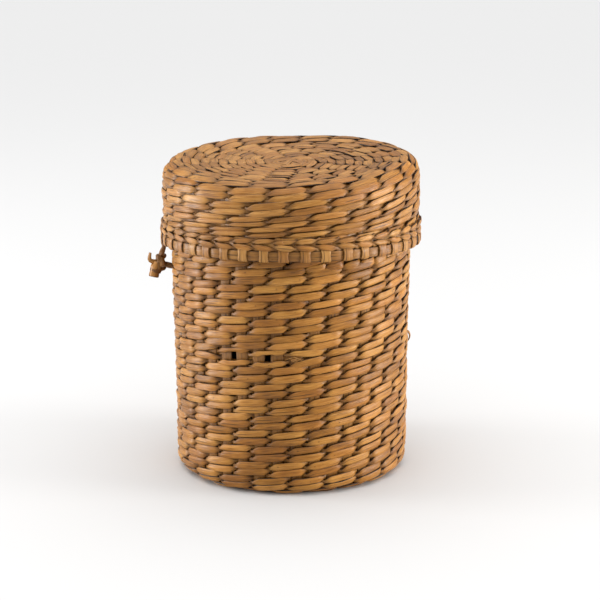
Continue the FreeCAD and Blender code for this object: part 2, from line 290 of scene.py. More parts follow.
class Regions:
    """The pieces that a weave is cut into, each with its stretch of the outline."""

    def __init__(self):
        self.pieces, self.ranges = {}, []

    def add(self, name, first, last, nodes):
        piece = Piece()
        self.pieces[name] = (piece, nodes)
        self.ranges.append((piece, (first, last)))

    def piece(self, name):
        return self.pieces[name][0]

    def make(self, body, material, slot, warp):
        for name, (piece, nodes) in self.pieces.items():
            piece.make(name, body, nodes, material, slot, warp)


# How much the work of a hand varies from stitch to stitch and, where it says FINE, within a stitch.
UNEVEN_OUT = 0.13 * MM
UNEVEN_PLACE = 0.17 * MM
FINE_PLACE = 0.06 * MM
UNEVEN_WIDTH = 0.055
FINE_WIDTH = 0.02
UNEVEN_THICK = 0.07
UNEVEN_ROLL = math.radians(5)
STITCH_ROLL = math.radians(4)          # every stitch turns this much over its length
UNEVEN_GROOVE = 0.11 * MM
FINE_GROOVE = 0.035 * MM


class Twining:
    """Rows of two strands each, that pass in front of and behind the stakes by turns.

    The rows run round an outline as a helix: turn is in degrees, and grows along the row."""

    def __init__(self, outline, hand, start, s0, pitch_at, turns, thick, wall,
                 stitch_at=None, samples=16):
        self.outline, self.hand, self.wall, self.thick = outline, hand, wall, thick
        self.turn = np.arange(0, turns * 360, STITCH / samples)
        s = np.empty(len(self.turn))
        s[0] = s0
        step = STITCH / samples / 360
        for n in range(1, len(s)):
            s[n] = s[n - 1] + pitch_at(s[n - 1]) * step
        self.s = s
        radius = np.interp(s, outline.s, outline.rz[:, 0])
        rate = np.full(len(s), 1 / STITCH) if stitch_at is None else 1 / stitch_at(radius)
        self.phase = np.concatenate([[0], np.cumsum(rate[1:] * np.diff(self.turn))])
        self.start = start

    def begin_stitch_at(self, turn, degrees):
        """Turn the weave so that one of its stitches begins at an angle, a given turn along."""
        self.start = degrees - self.hand * turn
        phase = np.interp(turn, self.turn, self.phase)
        self.phase = self.phase + (math.ceil(phase) - phase)

    def row(self, ranges, shift, width, lean, seed, strand, taper=(0.24, 0.13), narrow=(0.34, 0.46),
            spread=None, widen=None, s_shift=None, squash=2.6, tone=0.5, slant=0.6):
        """One strand of a row, cut into the pieces whose ranges of s are given.

        Over the share taper of a stitch at its two ends, its width falls to the share narrow.
        squash is how flat it lies between the stakes, and slant is how pointed its ends are."""
        rng = np.random.default_rng(seed)
        p = self.phase + strand
        cycle = np.mod(p, 2.0)
        inside = cycle >= 1
        q = np.where(inside, cycle - 1, cycle)
        wave = np.tanh(squash * np.sin(math.pi * cycle)) / math.tanh(squash)
        out = -self.wall / 2 + (self.wall / 2 - self.thick / 2) * wave
        out += wander(rng, p + 0.5, UNEVEN_OUT)
        tilt = lean * np.where(inside, 1 - 2 * q, 2 * q - 1)
        s = self.s + shift + tilt + wander(rng, p + 0.5, UNEVEN_PLACE)
        s += wander(rng, p, FINE_PLACE, spacing=0.3)
        if s_shift is not None:
            s = s + s_shift(self.turn)
        at_start = smooth(q / taper[0])
        at_end = smooth((1 - q) / taper[1])
        # the left end of a stitch comes to a point at its lower edge, the right end higher up
        near_start = 1 - np.where(inside, smooth(q / 0.15), at_start)
        near_end = 1 - np.where(inside, smooth((1 - q) / 0.15), at_end)
        left, right = (near_start, near_end) if self.hand > 0 else (near_end, near_start)
        left, right = np.where(inside, right, left), np.where(inside, left, right)
        s = s + self.outline.side * width * slant * (0.12 * right - 0.33 * left)
        full = (narrow[0] + (1 - narrow[0]) * at_start) * (narrow[1] + (1 - narrow[1]) * at_end)
        behind = 0.74 + 0.46 * smooth(np.minimum(q, 1 - q) / 0.08)
        w = width * np.where(inside, behind, full)
        w *= 1 + wander(rng, p + 0.5, UNEVEN_WIDTH)
        w *= 1 + wander(rng, p, FINE_WIDTH, spacing=0.21)
        if spread is not None:
            s = s + spread(self.turn)
        if widen is not None:
            w = w * widen(self.turn)
        crossing = 1 - at_start * at_end
        thick = self.thick * (1 + 0.35 * crossing) * (1 + wander(rng, p + 0.5, UNEVEN_THICK))
        degrees = self.hand * self.turn + self.start
        centre, outward, along = self.outline.place(degrees, s, out)
        roll = wander(rng, p + 0.5, UNEVEN_ROLL) + STITCH_ROLL * (1 - 2 * q)
        outward = outward + np.tan(roll)[:, None] * along
        grooves = wander(rng, p + 0.5, UNEVEN_GROOVE, columns=SIDES)
        grooves += wander(rng, p, FINE_GROOVE, spacing=0.35, columns=SIDES)
        number = np.floor(p).astype(int)
        draws = rng.uniform(0, 1, (number.max() - number.min() + 2, 2))[number - number.min()]
        # the ends of each stitch get painted shade where they dive in between the stakes
        tint = tints(np.clip(tone + (draws[:, 0] - 0.5), 0, 1), crossing, draws[:, 1])
        # a strand is cut from piece to piece only where it lies behind a stake
        hidden = np.nonzero((cycle[:-1] < 1.5) & (cycle[1:] >= 1.5))[0] + 1
        hidden = np.concatenate([hidden, [len(self.s)]])
        for piece, (first, last) in ranges:
            start, stop = np.searchsorted(self.s, (first, last))
            start = 0 if start == 0 else hidden[np.searchsorted(hidden, min(start, hidden[-1]))]
            stop = hidden[np.searchsorted(hidden, min(stop, hidden[-1]))]
            pick = np.arange(start, min(stop + 1, len(self.s)))
            if len(pick) < 3:
                continue
            piece.strip(centre[pick], outward[pick], w[pick], thick[pick], tint[pick],
                        grooves=grooves[pick], run0=seed * 0.37 + self.turn[pick[0]] * MM)


# ---------------------------------------------------------------- materials

WHITE = (1, 1, 1)
BLACK = (0, 0, 0)
# near-black brown used for painted shade in crevices, at stitch ends and on strand sides, and for the grass's
# own dark seams and spots
SHADE_AND_SPOT_DARK = (0.014, 0.0045, 0.001)


class Graph:
    """Short ways to add nodes to a material or a world."""

    def __init__(self, tree):
        self.nodes, self.links = tree.nodes, tree.links

    def add(self, kind, source=None, **settings):
        node = self.nodes.new(kind)
        for key, value in settings.items():
            setattr(node, key, value)
        if source is not None:
            self.links.new(source, node.inputs[0])
        return node

    def feed(self, socket, value):
        if isinstance(value, bpy.types.NodeSocket):
            self.links.new(value, socket)
        elif isinstance(value, tuple):
            socket.default_value = (*value, 1)
        else:
            socket.default_value = value

    def maths(self, operation, first, second=0.0):
        node = self.add("ShaderNodeMath", operation=operation)
        self.feed(node.inputs[0], first)
        self.feed(node.inputs[1], second)
        return node.outputs[0]

    def mix(self, mode, amount, first, second):
        node = self.add("ShaderNodeMix", data_type="RGBA", blend_type=mode)
        self.feed(node.inputs[0], amount)
        self.feed(node.inputs[6], first)
        self.feed(node.inputs[7], second)
        return node.outputs[2]

    def ramp(self, source, *stops):
        node = self.add("ShaderNodeValToRGB", source)
        band = node.color_ramp
        while len(band.elements) < len(stops):
            band.elements.new(0.5)
        for element, (place, colour) in zip(band.elements, stops):
            element.position = place
            element.color = (*colour, 1)
        return node.outputs[0]

    def noise(self, place, scale, detail):
        node = self.add("ShaderNodeTexNoise", place)
        node.inputs["Scale"].default_value = scale
        node.inputs["Detail"].default_value = detail
        return node.outputs[0]


def grass(name, dark, mid, light, roughness=0.40, spots=1.0, edge=0.95):
    """Dried flattened seagrass: lengthwise fibres, tone by strand, painted shade at the ends of stitches and
    along the sides of strands (edge sets how dark the sides are), and small spots.
    """
    material = bpy.data.materials.new(name)
    material.use_nodes = True
    graph = Graph(material.node_tree)
    shader = graph.nodes["Principled BSDF"]
    strand = graph.add("ShaderNodeAttribute", attribute_name="strand").outputs["Color"]
    tone, shade_and_darkness, cast = graph.add("ShaderNodeSeparateColor", strand).outputs
    uv = graph.add("ShaderNodeUVMap", uv_map="Strand").outputs[0]

    def stretched(along, across, detail, seed):
        mapping = graph.add("ShaderNodeMapping", uv)
        mapping.inputs["Scale"].default_value = (along, across, 1)
        mapping.inputs["Location"].default_value = (seed, seed * 1.7, 0)
        return graph.noise(mapping.outputs[0], 1, detail)

    fine = stretched(14, 46, 4, 0.3)
    broad = stretched(9, 9, 3, 5.1)
    patch = graph.noise(graph.add("ShaderNodeTexCoord").outputs["Object"], 95, 3)
    value = graph.maths("MULTIPLY", fine, 0.74)
    for source, weight in ((broad, 0.40), (tone, 0.26), (patch, 0.34)):
        value = graph.maths("ADD", value, graph.maths("MULTIPLY", source, weight))
    value = graph.maths("SUBTRACT", value, 0.40)
    colour = graph.ramp(value, (0.12, dark), (0.45, mid), (0.82, light))
    # a redder or greyer cast from strand to strand
    casts = graph.ramp(cast, (0.0, (1.0, 0.92, 0.80)), (0.5, WHITE), (1.0, (1.0, 1.03, 0.97)))
    colour = graph.mix("MULTIPLY", 0.75, colour, casts)
    # painted shade on the ends that dive between the stakes, and the grass's own long dark seams and small
    # brown spots
    seam = graph.ramp(stretched(5, 30, 2, 9.3), (0.33, WHITE), (0.39, BLACK))
    speck = graph.ramp(stretched(38, 12, 1, 2.7), (0.70, BLACK), (0.76, WHITE))
    for mark, strength in ((shade_and_darkness, 0.50), (seam, 0.65), (speck, 0.5 * spots)):
        colour = graph.mix("MIX", graph.maths("MULTIPLY", mark, strength), colour, SHADE_AND_SPOT_DARK)
    # painted shade on the sides of the strand, where it meets its neighbours, as dark as edge says; v runs
    # once round it
    v = graph.add("ShaderNodeSeparateXYZ", uv).outputs[1]
    facing = graph.maths("ABSOLUTE", graph.maths("SINE", graph.maths("MULTIPLY", v, 2 * math.pi)))
    sides = graph.ramp(facing, (0.36, WHITE), (0.60, BLACK))
    colour = graph.mix("MIX", graph.maths("MULTIPLY", sides, edge), colour, SHADE_AND_SPOT_DARK)
    graph.links.new(colour, shader.inputs["Base Color"])
    # satin on the ridges, duller between
    rough = graph.maths("ADD", graph.maths("MULTIPLY", fine, -0.22), roughness + 0.11)
    graph.links.new(rough, shader.inputs["Roughness"])
    shader.inputs["Specular IOR Level"].default_value = 0.34
    bump = graph.add("ShaderNodeBump")
    bump.inputs["Strength"].default_value = 0.8
    bump.inputs["Distance"].default_value = 0.25 * MM
    height = graph.maths("ADD", fine, graph.maths("MULTIPLY", broad, 0.6))
    graph.links.new(height, bump.inputs["Height"])
    graph.links.new(bump.outputs[0], shader.inputs["Normal"])
    return material


BODY_GRASS = grass("seagrass_body", (0.108, 0.035, 0.004), (0.335, 0.133, 0.016), (0.60, 0.292, 0.066))
LID_GRASS = grass("seagrass_lid", (0.112, 0.038, 0.006), (0.338, 0.138, 0.021), (0.61, 0.308, 0.082))
STRAP_GRASS = grass("seagrass_strap", (0.135, 0.049, 0.009), (0.335, 0.143, 0.028), (0.52, 0.268, 0.074),
                    spots=0.7, edge=0.35)
# darker copy of the grass, as painted shade for the band that lies in the recess behind the straps
SHADED_RECESS_GRASS = grass("seagrass_recess_shaded", (0.11, 0.040, 0.006), (0.275, 0.114, 0.020), (0.43, 0.208, 0.052))
STAKE_GRASS = grass("seagrass_stake", (0.095, 0.034, 0.005), (0.235, 0.094, 0.013), (0.37, 0.172, 0.036),
                    edge=0.5)
CORD_GRASS = grass("tie_cord", (0.070, 0.025, 0.005), (0.190, 0.078, 0.015), (0.34, 0.160, 0.042),
                   roughness=0.5, edge=0.0)

# ---------------------------------------------------------------- body of the basket

ROW = 1.85 * MM                        # half the distance between the two rows of a course
STRAND = 3.76 * MM
THICK = 1.5 * MM
LEAN = 0.80 * MM                       # how far a stitch rises to each side of its middle
WORN_Z = low("wall_course_08").z + 3.2 * MM     # middle of the gap in the worn course
FIRST_ROUND = 6 * MM                   # where the first round of a weave begins, from the middle
STITCH_R = 36 * MM                     # inside this radius stitches keep their length, not their angle
WORN_SPAN = 16                         # the worn place reaches this far each way, in degrees
WORN_SOFT = 13
HOLES = (-26.3, -8.9)                  # the two holes, in degrees along the row from its front


def inner_stitch(radius):
    """Degrees per stitch at a radius: fewer, wider stitches nearer the middle of a disc."""
    length = STITCH * math.pi / 180 * STITCH_R
    return np.where(radius > STITCH_R, STITCH, np.degrees(length / np.maximum(radius, 2 * MM)))


def weave_body():
    s_worn = BODY.s_at_z(WORN_Z, FLAT)
    s_fine = BODY.s_at_z(low("neck_twist_row").z, FLAT) + COURSE / 2
    turns = (BODY.s_at_z(BODY_TOP, FLAT) - FIRST_ROUND) / COURSE + 0.2
    weave = Twining(BODY, 1, 0.0, FIRST_ROUND, lambda s: COURSE, turns, THICK, WALL_THICK,
                    stitch_at=inner_stitch)
    worn_turn = (s_worn - FIRST_ROUND) / COURSE * 360
    fine_turn = (s_fine - FIRST_ROUND) / COURSE * 360 + 90
    weave.begin_stitch_at(worn_turn, FRONT - 1.5)

    def step_over(turn):
        return FINE_STEP * smooth((turn - fine_turn) / 25)

    def worn(turn, centre=worn_turn - WORN_SPAN):
        return bump_at(turn, centre, WORN_SPAN, WORN_SOFT)

    def holes(turn):
        return sum(bump_at(turn, worn_turn + hole, 2.2, 2.0) for hole in HOLES)

    def lift_upper(turn):
        return 1.15 * MM * worn(turn) + 0.35 * MM * holes(turn)

    def drop_lower(turn):
        pushed_up = 0.35 * MM * worn(turn, worn_turn - WORN_SPAN + 360)
        return -1.05 * MM * worn(turn) - 0.30 * MM * holes(turn) + pushed_up

    def upper_width(turn):
        return 1 - 0.27 * worn(turn) - 0.22 * holes(turn)

    def lower_width(turn):
        return 1 - 0.20 * worn(turn) - 0.10 * holes(turn)

    regions = Regions()
    inner_edge = BODY.s_at_r(reach("base_round_2"))
    outer_edge = FLAT - 1 * MM
    edge = BODY.s_at_z(WALL_FOOT, FLAT)
    regions.add("underside_inner_rounds", 0, inner_edge, ["base_start", "base_round_1", "base_round_2"])
    regions.add("underside_outer_rounds", inner_edge, outer_edge,
                ["base_round_3", "base_round_4", "base_inner_weave"])
    regions.add("bottom_edge", outer_edge, edge, ["base_corner_course", "base_corner_lining"])
    for n, node in enumerate(WALL_NODES, 1):
        upto = BODY.s_at_z(high(node).z, FLAT) if node != WALL_NODES[-1] else s_fine - COURSE / 2
        regions.add("wall_weave_%02d" % n, edge, upto, [node] + (["wall_lining"] if n == 1 else []))
        edge = upto
    regions.add("neck_weave", edge, 1.0, NECK_NODES + ["neck_lining"])
    seed = 11
    for shift, spread, widen in ((-ROW, drop_lower, lower_width), (ROW, lift_upper, upper_width)):
        for strand in (0, 1):
            weave.row(regions.ranges, shift, STRAND, LEAN, seed, strand, spread=spread, widen=widen,
                      s_shift=step_over)
            seed += 1
    worn_remains(regions.piece("wall_weave_08"))
    coil(regions.piece("underside_inner_rounds"), BODY, 1, 82)
    regions.make("basket", BODY_GRASS, "weft_body", settle)
    # fine row of single-stake stitches that closes the wall under the lid
    fine = Piece()
    row = Twining(BODY, 1, weave.start + fine_turn, s_fine + 0.5 * FINE_STEP - COURSE / 2 + 0.1 * MM,
                  lambda s: COURSE, 1.0, THICK, WALL_THICK, samples=32)
    row.phase = row.phase * 2
    for strand in (0, 1):
        row.row([(fine, (0, 1))], 0, 3.7 * MM, 0.55 * MM, 70 + strand, strand, taper=(0.2, 0.12),
                narrow=(0.85, 0.9))
    fine.make("fine_row_under_lid", "basket", ["neck_twist_row"], BODY_GRASS, "weft_body", settle)


def worn_remains(piece):
    """Bits of weft left behind the stakes at the worn place, with the two holes between them."""
    rng = np.random.default_rng(12)
    depth = 0.4 * MM - WALL_THICK * 0.75
    for first, last in ((-40.0, -30.4), (-25.3, -12.4), (-8.0, 10.0)):
        degrees = FRONT + np.arange(first, last, 0.6)
        for shift in (-1.2 * MM, 1.2 * MM):
            s = BODY.s_at_z(WORN_Z, FLAT) + shift + wander(rng, degrees, 0.12 * MM, 6)
            centre, outward, _ = BODY.place(degrees, s, depth)
            piece.strip(centre, outward, 2.9 * MM, 0.8 * MM, (rng.uniform(0.2, 0.7), 0.35, rng.uniform()),
                        grooves=wander(rng, degrees, 0.06 * MM, 5, columns=SIDES))


def push_out(verts, amount):
    """Verts moved away from the Z axis by an amount each."""
    angle = np.arctan2(verts[:, 1], verts[:, 0])
    out = verts.copy()
    out[:, 0] += amount * np.cos(angle)
    out[:, 1] += amount * np.sin(angle)
    return out


def settle(verts):
    """Hand-made unevenness: the wall isn't quite round or straight, and the base lies on the floor."""
    angle = np.arctan2(verts[:, 1], verts[:, 0])
    radius = np.hypot(verts[:, 0], verts[:, 1])
    height = verts[:, 2]
    swell = 0.30 * np.sin(3 * angle + 0.7) + 0.22 * np.sin(5 * angle + height / (17 * MM))
    swell += 0.25 * np.sin(2 * angle - height / (31 * MM))
    out = push_out(verts, swell * MM * smooth(radius / (40 * MM)) * smooth(height / (12 * MM)))
    out[:, 2] = np.maximum(height, 0.02 * MM)
    return out


def weave_stakes():
    """Flattened stakes that stand between the outer and the inner strands of the wall."""
    rng = np.random.default_rng(5)
    piece = Piece()
    s = np.arange(reach("base_round_2"), BODY.s_at_z(RIM_FOOT + 1.5 * MM, FLAT), 1.6 * MM)
    s_worn, s_fine = (BODY.s_at_z(z, FLAT) for z in (WORN_Z, high("neck_twist_row").z))
    wider = 0.7 * MM * (bump_at(s, s_worn, 2 * MM, 4 * MM) + bump_at(s, s_fine, 6 * MM, 4 * MM))
    for n in range(STAKES):
        degrees = FRONT - 5.9 + n * STAKE_STEP + rng.normal(0, 0.25) + wander(rng, s, 0.15, 12 * MM)
        centre, outward, _ = BODY.place(degrees, s, 0.1 * MM - WALL_THICK / 2)
        width = (5.4 * MM + wander(rng, s, 0.15 * MM, 9 * MM)) * smooth(0.35 + s / (70 * MM)) + wider
        piece.strip(centre, outward, width, 1.35 * MM, (rng.uniform(0.2, 0.9), 0.0, rng.uniform()), sides=12,
                    grooves=wander(rng, s, 0.10 * MM, 30 * MM, columns=12))
    piece.make("wall_stakes", "basket", ["body_stakes", "base_spokes"], STAKE_GRASS, "stake", settle)


def weave_rim():
    """Strand lashed round and round the top edge of the wall."""
    rng = np.random.default_rng(6)
    piece = Piece()
    wraps = 2 * STAKES
    radius = reach("body_rim") - WALL_THICK / 2 - 0.3 * MM
    height = (RIM_FOOT + BODY_TOP) / 2
    angle = np.linspace(0, 2 * math.pi, wraps * 14 + 1)
    turn = wraps * angle
    ring = np.stack([np.cos(angle), np.sin(angle), 0 * angle], -1)
    up = np.array([0, 0, 1.0])
    wide, tall = WALL_THICK / 2 - 0.15 * MM, (BODY_TOP - RIM_FOOT) / 2 - 0.1 * MM
    centre = ring * (radius + wide * np.cos(turn))[:, None] + up * (height + tall * np.sin(turn))[:, None]
    outward = ring * np.cos(turn)[:, None] + up * np.sin(turn)[:, None]
    width = 4.5 * MM * (1 + wander(rng, turn, 0.06, 2 * math.pi))
    draws = rng.uniform(0, 1, (wraps + 1, 2))[(turn / (2 * math.pi)).astype(int)]
    # painted shade on each wrap, darkest over its top
    piece.strip(centre, outward, width, 1.0 * MM, tints(draws[:, 0], 0.25 + 0.25 * np.sin(turn), draws[:, 1]),
                sides=10, grooves=wander(rng, turn, 0.06 * MM, 2 * math.pi, columns=10))
    piece.make("lashed_rim", "basket", ["body_rim"], BODY_GRASS, "weft_body", settle)


# ---------------------------------------------------------------- lid

TOP_TILT = 0.075                       # the lid's top stands higher at the back
SKIRT_TILT = -0.020                    # its border hangs a little higher at the front
RIGHT_TILT = 0.040                     # the right half of the top rises outwards
TOP_PITCH = 9.0 * MM
SIDE_PITCH = 7.0 * MM
MEAN_PITCH = 7.6 * MM
LID_COURSE_Z = 141.8906 * MM           # a stitch of the lid begins at the front at this height


def lid_settle(verts):
    """Hand-made unevenness of the lid: its tilt, a ripple in its top, and a side not quite round."""
    angle = np.arctan2(verts[:, 1], verts[:, 0])
    radius = np.hypot(verts[:, 0], verts[:, 1])
    above = verts[:, 2] - BORDER_HIGH
    share = smooth(above / (LID_TOP - BORDER_HIGH - 8 * MM))
    swell = (0.25 * np.sin(3 * angle + 2.1) + 0.20 * np.sin(4 * angle - 0.6)) * MM
    out = push_out(verts, swell * smooth(radius / (60 * MM)) * smooth(above / (9 * MM)))
    ripple = 0.5 * np.sin(verts[:, 0] / (13 * MM) + 1) * np.sin(verts[:, 1] / (15 * MM)) * MM
    out[:, 2] += (SKIRT_TILT + (TOP_TILT - SKIRT_TILT) * share) * verts[:, 1]
    out[:, 2] += (RIGHT_TILT * np.maximum(verts[:, 0], 0) + ripple) * share
    return out


def weave_lid():
    s_shoulder = LID_FLAT + 3 * MM
    s_side = LID.s_at_z(SHOULDER_Z, LID_FLAT)
    s_end = LID.s_at_z(BORDER_HIGH + 1.5 * MM, LID_FLAT)

    def pitch_at(s):
        return TOP_PITCH + (SIDE_PITCH - TOP_PITCH) * float(smooth((s - LID_FLAT) / (s_side - LID_FLAT)))

    weave = Twining(LID, -1, 0.0, FIRST_ROUND, pitch_at, FIRST_ROUND / TOP_PITCH + s_end / MEAN_PITCH,
                    1.2 * MM, LID_THICK - 0.3 * MM, stitch_at=inner_stitch)
    turn = float(np.interp(LID.s_at_z(LID_COURSE_Z, LID_FLAT), weave.s, weave.turn))
    weave.begin_stitch_at(turn, FRONT - 1.2)
    pitch = np.array([pitch_at(s) for s in weave.s])
    mid = reach("lid_round_2")
    regions = Regions()
    regions.add("lid_top_inner_rounds", 0, mid, ["lid_start", "lid_round_1", "lid_round_2"])
    regions.add("lid_top_outer_rounds", mid, s_shoulder,
                ["lid_round_3", "lid_inner_weave", "lid_crown_round", "lid_crown_lining"])
    regions.add("lid_shoulder_weave", s_shoulder, s_side, ["lid_shoulder_course", "lid_shoulder_lining"])
    edge = s_side
    for n in (1, 2):
        upto = LID.s_at_z(low("lid_course_%d" % n).z, LID_FLAT)
        regions.add("lid_weave_%d" % n, edge, upto, ["lid_course_%d" % n])
        edge = upto
    regions.add("lid_weave_3", edge, s_end, ["lid_course_3", "lid_lining"])
    seed = 31
    for side in (-1, 1):
        for strand in (0, 1):
            weave.row(regions.ranges, side * 0.245 * pitch, 0.50 * pitch, 0.75 * MM, seed, strand,
                      taper=(0.13, 0.24), narrow=(0.46, 0.34))
            seed += 1
    regions.make("lid", LID_GRASS, "weft_lid", lid_settle)


def coil(piece, outline, hand, seed):
    """Thin strand wound round the middle, where the weave begins."""
    rng = np.random.default_rng(seed)
    degrees = np.arange(0, 4.2 * 360, 12.0)
    s = 0.9 * MM + 2.1 * MM * degrees / 360
    for depth in (-0.8 * MM, -2.6 * MM):
        centre, outward, _ = outline.place(hand * degrees, s, depth)
        tint = tints(0.5 + wander(rng, degrees, 0.12, 80), 0.15, 0.4)
        piece.strip(centre, outward, 2.6 * MM, 1.5 * MM, tint,
                    grooves=wander(rng, degrees, 0.06 * MM, 60, columns=SIDES))


def lid_start_knot():
    """Short strands crossed over each other where the lid's weave begins."""
    rng = np.random.default_rng(8)
    piece = Piece()
    coil(piece, LID, -1, 81)
    run = np.linspace(-7.5, 7.5, 25) * MM
    for n, degrees in enumerate((20, 65, 110, 155)):
        angle = math.radians(degrees)
        lift = LID_TOP + (0.15 + 0.35 * (n % 2)) * MM - 0.9 * MM * smooth(np.abs(run) / (7 * MM))
        centre = np.stack([run * math.cos(angle), run * math.sin(angle), lift], -1)
        piece.strip(centre, (0, 0, 1.0), 3.6 * MM, 1.0 * MM, (rng.uniform(0.3, 0.8), 0.1, rng.uniform()),
                    grooves=wander(rng, run, 0.06 * MM, 5 * MM, columns=SIDES))
    piece.make("lid_start_strands", "lid", ["lid_spokes"], LID_GRASS, "weft_lid", lid_settle)


def weave_lid_stakes():
    rng = np.random.default_rng(9)
    piece = Piece()
    s = np.arange(24 * MM, LID.s_at_z(BORDER_HIGH + 1 * MM, LID_FLAT), 1.6 * MM)
    width = 5.2 * MM * smooth(0.35 + s / (80 * MM))
    for n in range(STAKES):
        degrees = 180 + n * STAKE_STEP + rng.normal(0, 0.3)
        centre, outward, _ = LID.place(degrees, s, -1.85 * MM)
        piece.strip(centre, outward, width, 0.9 * MM, (rng.uniform(0.2, 0.9), 0.0, rng.uniform()), sides=10)
    piece.make("lid_stakes_flat", "lid", ["lid_stakes"], STAKE_GRASS, "stake", lid_settle)


def lock_rows():
    """Two rows of short stitches, slanting opposite ways, that hold the folded stakes."""
    piece = Piece()
    for n, lean in ((1, -0.62 * MM), (2, 0.62 * MM)):
        node = "lid_lock_row_%d" % n
        s = LID_FOOT.s_at_z((low(node).z + high(node).z) / 2, LID_FLAT)
        row = Twining(LID_FOOT, 1, FRONT - 2.2 - STITCH / 4, s, lambda s: 0.0, 1.0 + 0.5 / STAKES, 1.25 * MM,
                      2.9 * MM, samples=32)
        row.phase = row.phase * 2
        for strand in (0, 1):
            row.row([(piece, (0, 1))], 0, 3.05 * MM, lean, 50 + 2 * n + strand, strand,
                    taper=(0.3, 0.3), narrow=(0.4, 0.4), squash=1.6, tone=0.55, slant=0.0)
    piece.make("lid_lock_rows", "lid", ["lid_lock_row_1", "lid_lock_row_2"], LID_GRASS, "weft_lid",
               lid_settle)


def border():
    """The folded ends of the lid's stakes: straps over a band that weaves in and out under them."""
    rng = np.random.default_rng(10)
    border_band(rng)
    border_straps(rng)


BORDER_MIDDLE = (BORDER_LOW + BORDER_HIGH) / 2
BAND_ENDS = (187, 533)                 # the band leaves the place of the tie open


def border_band(rng):
    piece = Piece()
    degrees = np.linspace(*BAND_ENDS, 700)
    angle = np.radians(degrees)
    weaving = np.cos(np.radians((degrees - 180) * STAKES))
    number = np.round((degrees - 180) / STAKE_STEP - 0.5).astype(int)
    for depth, height in ((-1.30 * MM, 4.8 * MM), (-3.1 * MM, 3.6 * MM)):
        radius = BORDER_R + depth - 0.25 * MM * weaving
        level = np.full(len(degrees), BORDER_MIDDLE + 0.2 * MM)
        centre = np.stack([radius * np.cos(angle), radius * np.sin(angle), level], -1)
        draws = rng.uniform(0, 1, (number.max() + 1, 2))[number]
        # painted shade on the band, darkest where it dips in under a strap
        tint = tints(0.2 + 0.6 * draws[:, 0], 0.55 - 0.45 * np.abs(weaving - 1) / 2, draws[:, 1])
        piece.strip(centre, centre * [1, 1, 0], height + wander(rng, degrees, 0.1 * MM, 9), 0.8 * MM, tint,
                    grooves=wander(rng, degrees, 0.07 * MM, 9, columns=SIDES))
    piece.make("border_band", "lid", ["lid_border_ring"], SHADED_RECESS_GRASS, "border", lid_settle)


def border_straps(rng):
    piece = Piece()
    share = np.linspace(0, 1, 34)
    for n in range(STAKES):
        angle = math.radians(180 + n * STAKE_STEP + (rng.normal(0, 0.35) if n else 0))
        top = BORDER_HIGH + 1.0 * MM
        foot = BORDER_LOW + 0.45 * MM + (rng.normal(0, 0.12) * MM if n else 0)
        route = [(top, -1.3), (top - 1.1 * MM, -0.75), (top - 2.2 * MM, -0.42), (BORDER_MIDDLE, -0.38),
                 (foot + 1.2 * MM, -0.42), (foot + 0.35 * MM, -0.65), (foot, -1.3), (foot, -2.4),
                 (foot + 0.4 * MM, -3.1), (foot + 1.4 * MM, -3.45), (top - 1.0 * MM, -3.5)]
        path = curve_through([(BORDER_R + out * MM, 0, z) for z, out in route], len(share))
        turned = np.stack([path[:, 0] * math.cos(angle), path[:, 0] * math.sin(angle), path[:, 2]], -1)
        across = np.array([-math.sin(angle), math.cos(angle), 0])
        normal = np.cross(unit(np.gradient(turned, axis=0)), across)
        waist = 1 - 0.12 * np.exp(-((share - 0.25) / 0.12) ** 2)
        width = 4.75 * MM * (1 + rng.normal(0, 0.05)) * waist
        # painted shade at the strap's top, where it goes in under the lock rows, and on its part folded back
        # behind the band
        shade_and_darkness = 0.8 * np.exp(-(share / 0.08) ** 2) + 0.5 * smooth((share - 0.5) / 0.2)
        piece.strip(turned, normal, width, 0.72 * MM, tints(rng.uniform(0.1, 0.9), shade_and_darkness, rng.uniform()),
                    sides=16, square=0.5, grooves=wander(rng, share, 0.09 * MM, 0.7, columns=16))
    piece.make("border_straps", "lid", ["lid_border_straps"], STRAP_GRASS, "border", lid_settle)


# ---------------------------------------------------------------- the tie, and loose ends

CORD = 0.9 * MM                        # radius of the tie's cord in the model
TO_SIDE = (1.0, 0.0, 0.0)


def curve_through(points, count):
    """Smooth line through points (a Catmull-Rom curve), evenly sampled."""
    p = np.array(points, dtype=float)
    p = np.concatenate([[2 * p[0] - p[1]], p, [2 * p[-1] - p[-2]]])
    t = np.linspace(0, 1, 12, endpoint=False)[:, None]
    line = [0.5 * (2 * b + (c - a) * t + (2 * a - 5 * b + 4 * c - d) * t ** 2
                   + (3 * b - a - 3 * c + d) * t ** 3) for a, b, c, d in zip(p, p[1:], p[2:], p[3:])]
    line = np.concatenate(line + [p[-2:-1]])
    run = run_along(line)
    even = np.linspace(0, run[-1], count)
    return np.stack([np.interp(even, run, line[:, i]) for i in range(3)], -1)


def trefoil(depth):
    """Line of a cord wound through itself in a knot, about its middle."""
    t = np.linspace(0, 2 * math.pi, 220)
    return np.stack([depth * np.sin(3 * t), np.sin(t) + 2 * np.sin(2 * t),
                     np.cos(t) - 2 * np.cos(2 * t)], -1)


def twisted(path, radius, seed, name, node, facing=(-0.55, -0.8, 0.2), thinner=1.0):
    """Two-ply twisted cord along a path, as a piece of the basket."""
    rng = np.random.default_rng(seed)
    piece = Piece()
    run = run_along(path)
    sides = 20
    lay = 5.5 * MM
    angle = np.arange(sides) * 2 * math.pi / sides
    ply = np.abs(np.cos(angle[None, :] - math.pi * run[:, None] / lay))
    size = 2 * radius * (1 + wander(rng, run, 0.05, 3 * MM)) * thinner
    tint = tints(np.clip(0.5 + wander(rng, run, 0.2, 4 * MM), 0, 1), 0.25, rng.uniform())
    piece.strip(path, facing, size, size, tint, sides=sides, square=1.0, shape=0.70 + 0.34 * ply)
    piece.make(name, "basket", [node], CORD_GRASS, "tie_cord")


